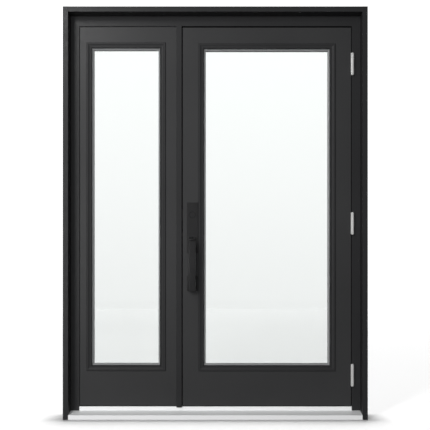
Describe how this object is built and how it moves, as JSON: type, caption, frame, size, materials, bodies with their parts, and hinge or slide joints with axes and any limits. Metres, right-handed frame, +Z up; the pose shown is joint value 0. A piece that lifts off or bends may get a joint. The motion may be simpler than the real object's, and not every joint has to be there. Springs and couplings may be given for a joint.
{
  "type": "steel entry door with sidelite",
  "caption": "Black glazed steel entry door hinged beside a fixed glazed sidelite, in a deep frame on an aluminium sill, with pull grip, keyed deadbolt and silver butt hinges.",
  "frame": {"origin": "middle of the frame's footprint, on the underside of the sill", "axes": "+Z up, +X to the hinge side seen from outside, +Y towards the room"},
  "size_m": [1.626, 0.194, 2.204],
  "materials": {
    "black_frame": "satin black paint on the clad frame",
    "sill_aluminium": "mill finish, finely brushed along its length",
    "black_steel": "satin black paint on steel",
    "black_lite_frame": "satin black paint on aluminium",
    "clear_glass": "clear float glass",
    "spacer_metal": "satin grey",
    "seal_rubber": "matt black",
    "stile_wood": "bare laminated wood",
    "core_foam": "rigid foam",
    "hinge_steel": "satin plated",
    "black_hardware": "matt black coating",
    "lock_steel": "satin"
  },
  "bodies": {
    "frame": {"left_jamb": "black_frame", "hinge_jamb": "black_frame", "head_jamb": "black_frame", "mullion": "black_frame", "mullion_cover": "black_frame", "left_casing": "black_frame", "right_casing": "black_frame", "head_casing": "black_frame", "sidelite_beads": "black_frame", "sill": "sill_aluminium", "threshold": "sill_aluminium", "sidelite_outer_skin": "black_steel", "sidelite_inner_skin": "black_steel", "sidelite_outer_lite_frame": "black_lite_frame", "sidelite_inner_lite_frame": "black_lite_frame", "sidelite_outer_pane": "clear_glass", "sidelite_inner_pane": "clear_glass", "sidelite_spacer": "spacer_metal", "latch_side_weatherstrip": "seal_rubber", "hinge_side_weatherstrip": "seal_rubber", "head_weatherstrip": "seal_rubber", "sidelite_gasket": "seal_rubber", "sidelite_stiles": "stile_wood", "sidelite_rails": "stile_wood", "bottom_hinge_frame_leaf": "hinge_steel", "bottom_hinge_pin": "hinge_steel", "middle_hinge_frame_leaf": "hinge_steel", "middle_hinge_pin": "hinge_steel", "top_hinge_frame_leaf": "hinge_steel", "top_hinge_pin": "hinge_steel", "latch_strike": "lock_steel", "deadbolt_strike": "lock_steel"},
    "door": {"door_outer_skin": "black_steel", "door_inner_skin": "black_steel", "door_hinge_stile": "stile_wood", "door_lock_stile": "stile_wood", "door_rails": "stile_wood", "door_core": "core_foam", "door_outer_lite_frame": "black_lite_frame", "door_inner_lite_frame": "black_lite_frame", "door_outer_pane": "clear_glass", "door_inner_pane": "clear_glass", "door_spacer": "spacer_metal", "door_sweep": "seal_rubber", "handle_plate": "black_hardware", "grip": "black_hardware", "grip_rose": "black_hardware", "lock_cylinder": "black_hardware", "inner_plate": "black_hardware", "lock_case": "lock_steel", "bottom_hinge_door_leaf": "hinge_steel", "middle_hinge_door_leaf": "hinge_steel", "top_hinge_door_leaf": "hinge_steel"},
    "thumb": {"thumb_piece": "black_hardware"},
    "knob": {"knob": "black_hardware"},
    "latch": {"latch_bolt": "lock_steel"},
    "thumbturn": {"thumbturn": "black_hardware"},
    "deadbolt": {"deadbolt": "lock_steel"},
    "key_plug": {"key_plug": "black_hardware"}
  },
  "joints": [
    {"name": "door_swing", "type": "hinge", "parent": "frame", "child": "door", "pos_m": [0.742, -0.017, 1.051], "axis": [0, 0, 1], "range_deg": [0, 110]},
    {"name": "thumb_press", "type": "hinge", "parent": "door", "child": "thumb", "pos_m": [-0.125, -0.0105, 0.971], "axis": [1, 0, 0], "range_deg": [0, 10], "stiffness_Nm_per_rad": 0.6, "springref_deg": -5.73},
    {"name": "knob_turn", "type": "hinge", "parent": "door", "child": "knob", "pos_m": [-0.125, 0.06, 0.971], "axis": [0, 1, 0], "range_deg": [0, 40]},
    {"name": "latch_slide", "type": "slide", "parent": "door", "child": "latch", "axis": [-1, 0, 0], "range_m": [0, 0.012]},
    {"name": "thumbturn_turn", "type": "hinge", "parent": "door", "child": "thumbturn", "pos_m": [-0.125, 0.05, 1.097], "axis": [0, 1, 0], "range_deg": [0, 90]},
    {"name": "deadbolt_slide", "type": "slide", "parent": "door", "child": "deadbolt", "axis": [-1, 0, 0], "range_m": [0, 0.02]},
    {"name": "key_turn", "type": "hinge", "parent": "door", "child": "key_plug", "pos_m": [-0.125, -0.015, 1.097], "axis": [0, 1, 0], "range_deg": [0, 90]}
  ],
  "couplings": [
    {"joint": "latch_slide", "follows": "knob_turn", "m_per_rad": 0.01718},
    {"joint": "deadbolt_slide", "follows": "thumbturn_turn", "m_per_rad": 0.01273},
    {"joint": "key_turn", "follows": "thumbturn_turn", "ratio": 1}
  ]
}
